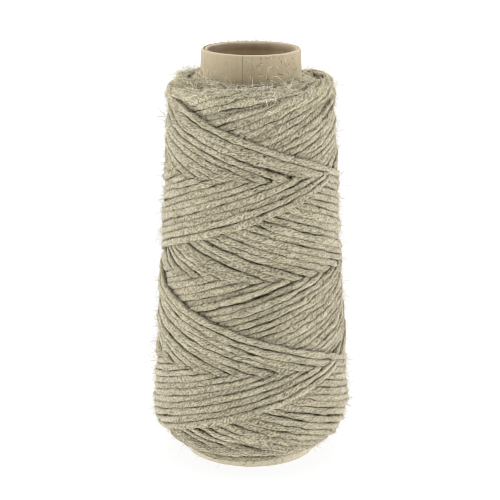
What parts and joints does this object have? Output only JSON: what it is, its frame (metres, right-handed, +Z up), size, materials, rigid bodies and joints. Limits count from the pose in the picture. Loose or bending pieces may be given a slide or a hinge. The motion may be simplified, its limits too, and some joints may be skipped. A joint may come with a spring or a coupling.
{
  "type": "spool of twine",
  "caption": "Upright conical spool of natural linen twine, cross-wound on an open paper cone that shows at the top and at the foot.",
  "frame": {"origin": "centre of the circle on which the cone's bottom edge stands", "axes": "+Z up along the axis of the cone, towards its narrow end"},
  "size_m": [0.083, 0.0834, 0.17],
  "materials": {
    "kraft_board": "matt, wound grey-brown kraft paper with a burnished rim",
    "spun_flax": "matt, undyed spun flax with loose fibres"
  },
  "bodies": {
    "root": {"cardboard_cone": "kraft_board", "twine": "spun_flax"}
  },
  "joints": []
}
